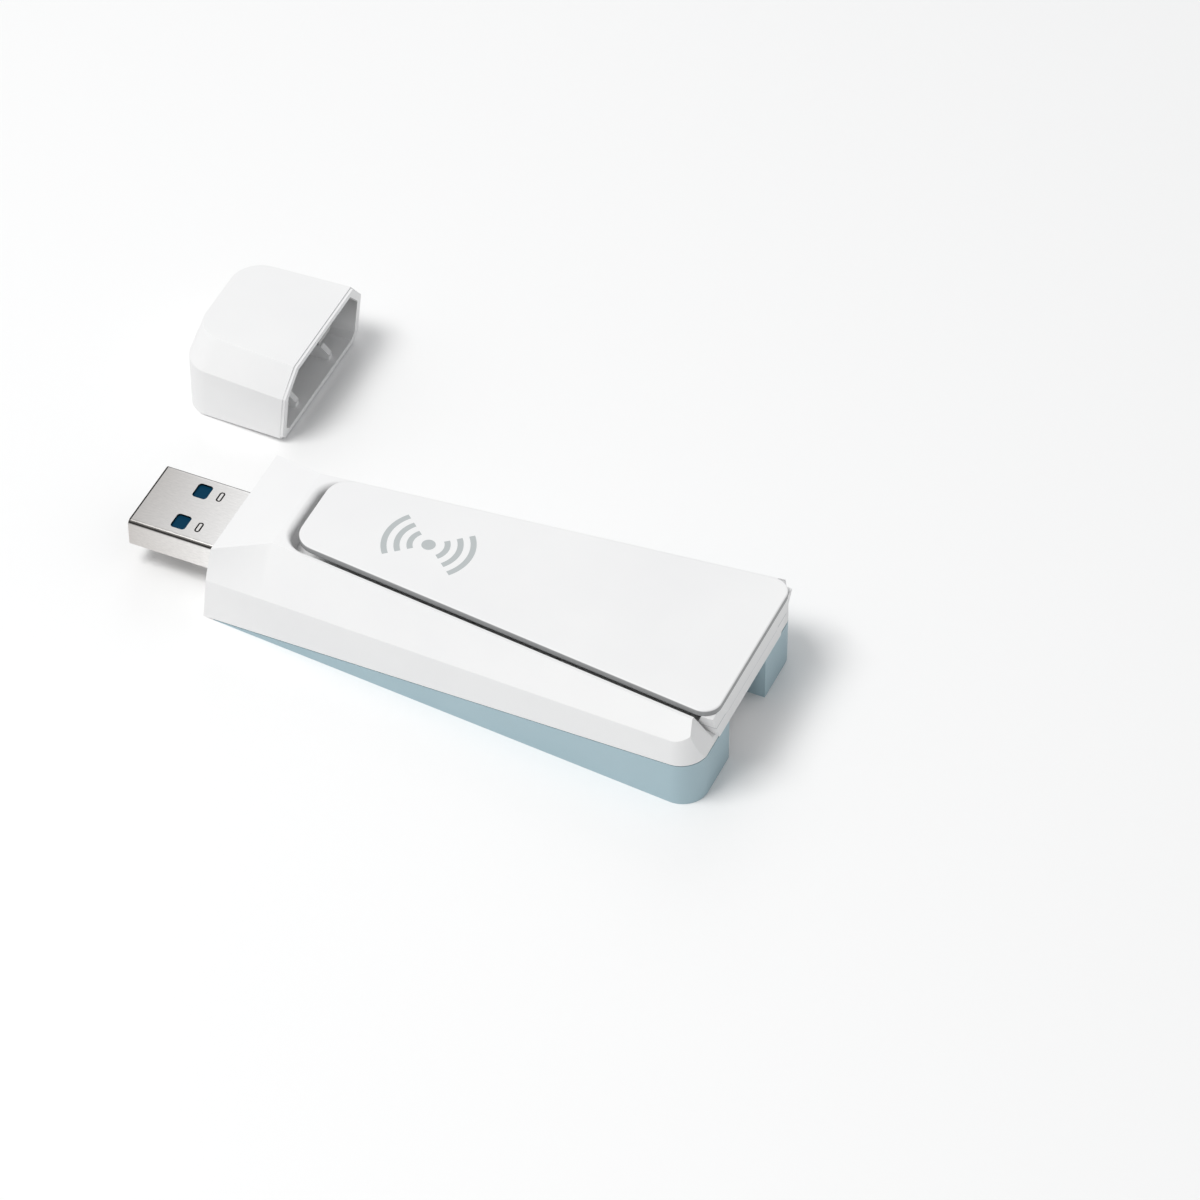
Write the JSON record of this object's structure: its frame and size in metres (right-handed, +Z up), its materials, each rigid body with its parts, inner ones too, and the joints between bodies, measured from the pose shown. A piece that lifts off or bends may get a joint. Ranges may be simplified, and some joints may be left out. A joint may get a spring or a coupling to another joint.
{
  "type": "usb wireless adapter",
  "caption": "Wedge-shaped USB wireless adapter with a wide flip-up antenna arm in its top, a steel plug and a loose plug cap.",
  "frame": {"origin": "middle of the flat underside of the housing", "axes": "+X runs from the USB plug to the antenna hinge, +Z up out of the antenna face, +Y completes the right-handed frame, towards the parked cap"},
  "size_m": [0.0957, 0.0632, 0.015],
  "materials": {
    "white_shell": "fine matte texture",
    "blue_shell": "satin steel blue",
    "arm_inner": "matte light grey",
    "plug_steel": "satin",
    "blue_insulator": "deep blue",
    "gold_contact": "gold plated",
    "circuit_board": "solder mask",
    "screw_steel": "zinc plated",
    "tinned_sheet": "tinned",
    "chip_black": "moulded",
    "thermal_pad": "soft",
    "heat_spreader": "rolled",
    "ferrite": "sintered",
    "ceramic": "ceramic with tinned ends",
    "coax_jacket": "jacket",
    "pin_brass": "turned",
    "spring_steel": "spring steel",
    "copper": "copper foil"
  },
  "bodies": {
    "housing": {"top_housing": "white_shell", "bottom_shell": "blue_shell", "usb_plug_shell": "plug_steel", "usb_insulator": "blue_insulator", "usb2_contacts": "gold_contact", "superspeed_contacts": "gold_contact", "main_pcb": "circuit_board", "pcb_screws": "screw_steel", "shield_frame": "tinned_sheet", "shield_can": "tinned_sheet", "wifi_chip": "chip_black", "thermal_pad": "thermal_pad", "heat_spreader": "heat_spreader", "front_end_modules": "chip_black", "crystal": "tinned_sheet", "power_inductor": "ferrite", "voltage_regulator": "chip_black", "smd_parts": "ceramic", "coax_sockets": "gold_contact", "coax_plugs": "gold_contact", "housing_coax_left": "coax_jacket", "housing_coax_right": "coax_jacket", "hinge_pins": "pin_brass", "friction_washers": "spring_steel"},
    "antenna_arm": {"antenna_inner_cover": "arm_inner", "antenna_outer_cover": "white_shell", "antenna_board_left": "circuit_board", "antenna_board_right": "circuit_board", "antenna_trace_left": "copper", "antenna_trace_right": "copper", "arm_coax_left": "coax_jacket", "arm_coax_right": "coax_jacket"},
    "cap": {"plug_cap": "white_shell"}
  },
  "joints": [
    {"name": "antenna_hinge", "type": "hinge", "parent": "housing", "child": "antenna_arm", "pos_m": [0.03205, 0, 0.00395], "axis": [0, 1, 0], "range_deg": [0, 135]},
    {"name": "cap_slide", "type": "slide", "parent": "housing", "child": "cap", "axis": [1, 0, 0], "range_m": [-0.0105, 0.0049]}
  ]
}
